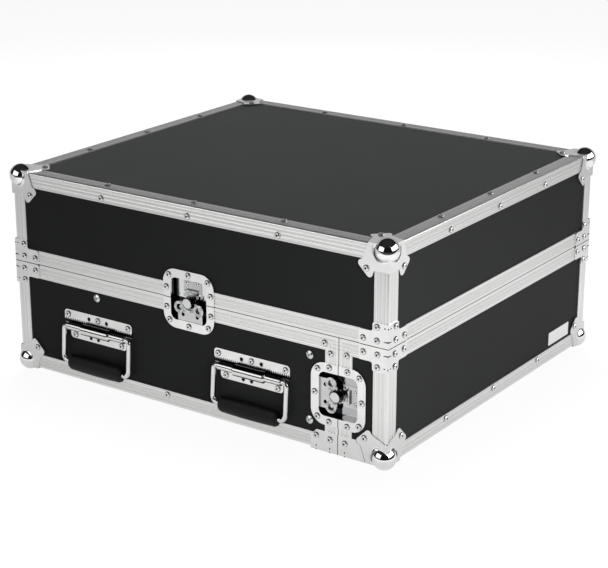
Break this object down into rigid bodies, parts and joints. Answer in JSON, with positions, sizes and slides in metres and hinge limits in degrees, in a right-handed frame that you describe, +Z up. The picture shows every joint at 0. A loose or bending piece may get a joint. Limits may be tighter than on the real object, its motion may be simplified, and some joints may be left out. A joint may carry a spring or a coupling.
{
  "type": "mixer flight case",
  "caption": "Black laminated flight case with aluminium edging, lift-off lid, pull-off front cover, rack rails, ball corners, spring handles and butterfly latches.",
  "frame": {"origin": "on the floor under the middle of the case, at the soles of the feet", "axes": "+X across the front to the right seen from the front, +Y from the front cover to the back, +Z up"},
  "size_m": [0.5582, 0.615, 0.2995],
  "materials": {
    "laminated_plywood": "black phenolic laminate, satin, on 9 mm plywood",
    "aluminium_edging": "anodised extrusion, satin with fine lengthways grooves",
    "chromed_steel": "bright zinc and chrome plating on pressed steel",
    "polished_chrome": "polished chrome plating",
    "rail_steel": "zinc-plated steel",
    "rubber": "moulded black rubber",
    "foam": "open-cell dark grey foam"
  },
  "bodies": {
    "base": {"base_floor": "laminated_plywood", "base_side_left": "laminated_plywood", "base_side_right": "laminated_plywood", "base_back": "laminated_plywood", "base_edge_angles": "aluminium_edging", "base_rim_channels": "aluminium_edging", "front_opening_channels": "aluminium_edging", "front_cross_bar": "aluminium_edging", "base_ball_corners": "polished_chrome", "base_brackets": "chromed_steel", "base_latch_dishes": "chromed_steel", "latch_cover_plates": "chromed_steel", "front_rack_rails": "rail_steel", "top_rack_rails": "rail_steel", "rail_bolts": "chromed_steel", "rubber_feet": "rubber", "handle_plate_front_left": "chromed_steel", "handle_plate_front_right": "chromed_steel", "handle_plate_rear_left": "chromed_steel", "handle_plate_rear_right": "chromed_steel"},
    "lid": {"lid_top": "laminated_plywood", "lid_side_panels": "laminated_plywood", "lid_end_panels": "laminated_plywood", "lid_edge_angles": "aluminium_edging", "lid_rim_channels": "aluminium_edging", "lid_ball_corners": "polished_chrome", "lid_brackets": "chromed_steel", "lid_latch_dishes": "chromed_steel", "lid_latch_keepers": "chromed_steel", "lid_foam": "foam"},
    "front_cover": {"cover_floor": "laminated_plywood", "cover_front": "laminated_plywood", "cover_side_panels": "laminated_plywood", "cover_edge_angles": "aluminium_edging", "cover_rim_channels": "aluminium_edging", "cover_ball_corners": "polished_chrome", "cover_brackets": "chromed_steel", "cover_latch_dishes": "chromed_steel", "cover_latch_keepers": "chromed_steel", "cover_foam": "foam"},
    "handle_front_left": {"handle_bail_front_left": "chromed_steel", "handle_grip_front_left": "rubber"},
    "handle_front_right": {"handle_bail_front_right": "chromed_steel", "handle_grip_front_right": "rubber"},
    "handle_rear_left": {"handle_bail_rear_left": "chromed_steel", "handle_grip_rear_left": "rubber"},
    "handle_rear_right": {"handle_bail_rear_right": "chromed_steel", "handle_grip_rear_right": "rubber"},
    "lid_latch_knob_left": {"lid_latch_knob_left": "chromed_steel"},
    "lid_latch_wing_left": {"lid_latch_wing_left": "chromed_steel"},
    "lid_latch_claw_left": {"lid_latch_claw_left": "chromed_steel"},
    "lid_latch_knob_right": {"lid_latch_knob_right": "chromed_steel"},
    "lid_latch_wing_right": {"lid_latch_wing_right": "chromed_steel"},
    "lid_latch_claw_right": {"lid_latch_claw_right": "chromed_steel"},
    "cover_latch_knob_left": {"cover_latch_knob_left": "chromed_steel"},
    "cover_latch_wing_left": {"cover_latch_wing_left": "chromed_steel"},
    "cover_latch_claw_left": {"cover_latch_claw_left": "chromed_steel"},
    "cover_latch_knob_right": {"cover_latch_knob_right": "chromed_steel"},
    "cover_latch_wing_right": {"cover_latch_wing_right": "chromed_steel"},
    "cover_latch_claw_right": {"cover_latch_claw_right": "chromed_steel"}
  },
  "joints": [
    {"name": "lid_lift", "type": "slide", "parent": "base", "child": "lid", "axis": [0, 0, 1], "range_m": [0, 0.3]},
    {"name": "front_cover_pull", "type": "slide", "parent": "base", "child": "front_cover", "axis": [0, -1, 0], "range_m": [0, 0.2]},
    {"name": "handle_front_left_lift", "type": "hinge", "parent": "base", "child": "handle_front_left", "pos_m": [-0.26865, -0.0985, 0.089], "axis": [0, 1, 0], "range_deg": [0, 85.93], "stiffness_Nm_per_rad": 0.4},
    {"name": "handle_front_right_lift", "type": "hinge", "parent": "base", "child": "handle_front_right", "pos_m": [0.26865, -0.0985, 0.089], "axis": [0, -1, 0], "range_deg": [0, 85.93], "stiffness_Nm_per_rad": 0.4},
    {"name": "handle_rear_left_lift", "type": "hinge", "parent": "base", "child": "handle_rear_left", "pos_m": [-0.26865, 0.157, 0.089], "axis": [0, 1, 0], "range_deg": [0, 85.93], "stiffness_Nm_per_rad": 0.4},
    {"name": "handle_rear_right_lift", "type": "hinge", "parent": "base", "child": "handle_rear_right", "pos_m": [0.26865, 0.157, 0.089], "axis": [0, -1, 0], "range_deg": [0, 85.93], "stiffness_Nm_per_rad": 0.4},
    {"name": "lid_latch_turn_left", "type": "hinge", "parent": "base", "child": "lid_latch_knob_left", "pos_m": [-0.265, 0, 0.162], "axis": [-1, 0, 0], "range_deg": [0, 180]},
    {"name": "lid_latch_wing_fold_left", "type": "hinge", "parent": "lid_latch_knob_left", "child": "lid_latch_wing_left", "pos_m": [-0.2652, 0, 0.162], "axis": [0, 1, 0], "range_deg": [0, 90]},
    {"name": "lid_latch_claw_slide_left", "type": "slide", "parent": "base", "child": "lid_latch_claw_left", "axis": [0, 0, 1], "range_m": [0, 0.006]},
    {"name": "lid_latch_turn_right", "type": "hinge", "parent": "base", "child": "lid_latch_knob_right", "pos_m": [0.265, 0, 0.162], "axis": [1, 0, 0], "range_deg": [0, 180]},
    {"name": "lid_latch_wing_fold_right", "type": "hinge", "parent": "lid_latch_knob_right", "child": "lid_latch_wing_right", "pos_m": [0.2652, 0, 0.162], "axis": [0, -1, 0], "range_deg": [0, 90]},
    {"name": "lid_latch_claw_slide_right", "type": "slide", "parent": "base", "child": "lid_latch_claw_right", "axis": [0, 0, 1], "range_m": [0, 0.006]},
    {"name": "cover_latch_turn_left", "type": "hinge", "parent": "base", "child": "cover_latch_knob_left", "pos_m": [-0.265, -0.2275, 0.0875], "axis": [-1, 0, 0], "range_deg": [0, 180]},
    {"name": "cover_latch_wing_fold_left", "type": "hinge", "parent": "cover_latch_knob_left", "child": "cover_latch_wing_left", "pos_m": [-0.2652, -0.2275, 0.0875], "axis": [0, 0, 1], "range_deg": [0, 90]},
    {"name": "cover_latch_claw_slide_left", "type": "slide", "parent": "base", "child": "cover_latch_claw_left", "axis": [0, -1, 0], "range_m": [0, 0.006]},
    {"name": "cover_latch_turn_right", "type": "hinge", "parent": "base", "child": "cover_latch_knob_right", "pos_m": [0.265, -0.2275, 0.0875], "axis": [1, 0, 0], "range_deg": [0, 180]},
    {"name": "cover_latch_wing_fold_right", "type": "hinge", "parent": "cover_latch_knob_right", "child": "cover_latch_wing_right", "pos_m": [0.2652, -0.2275, 0.0875], "axis": [0, 0, -1], "range_deg": [0, 90]},
    {"name": "cover_latch_claw_slide_right", "type": "slide", "parent": "base", "child": "cover_latch_claw_right", "axis": [0, -1, 0], "range_m": [0, 0.006]}
  ],
  "couplings": [
    {"joint": "lid_latch_claw_slide_left", "follows": "lid_latch_turn_left", "m_per_rad": 0.0019098},
    {"joint": "lid_latch_claw_slide_right", "follows": "lid_latch_turn_right", "m_per_rad": 0.0019098},
    {"joint": "cover_latch_claw_slide_left", "follows": "cover_latch_turn_left", "m_per_rad": 0.0019098},
    {"joint": "cover_latch_claw_slide_right", "follows": "cover_latch_turn_right", "m_per_rad": 0.0019098}
  ]
}
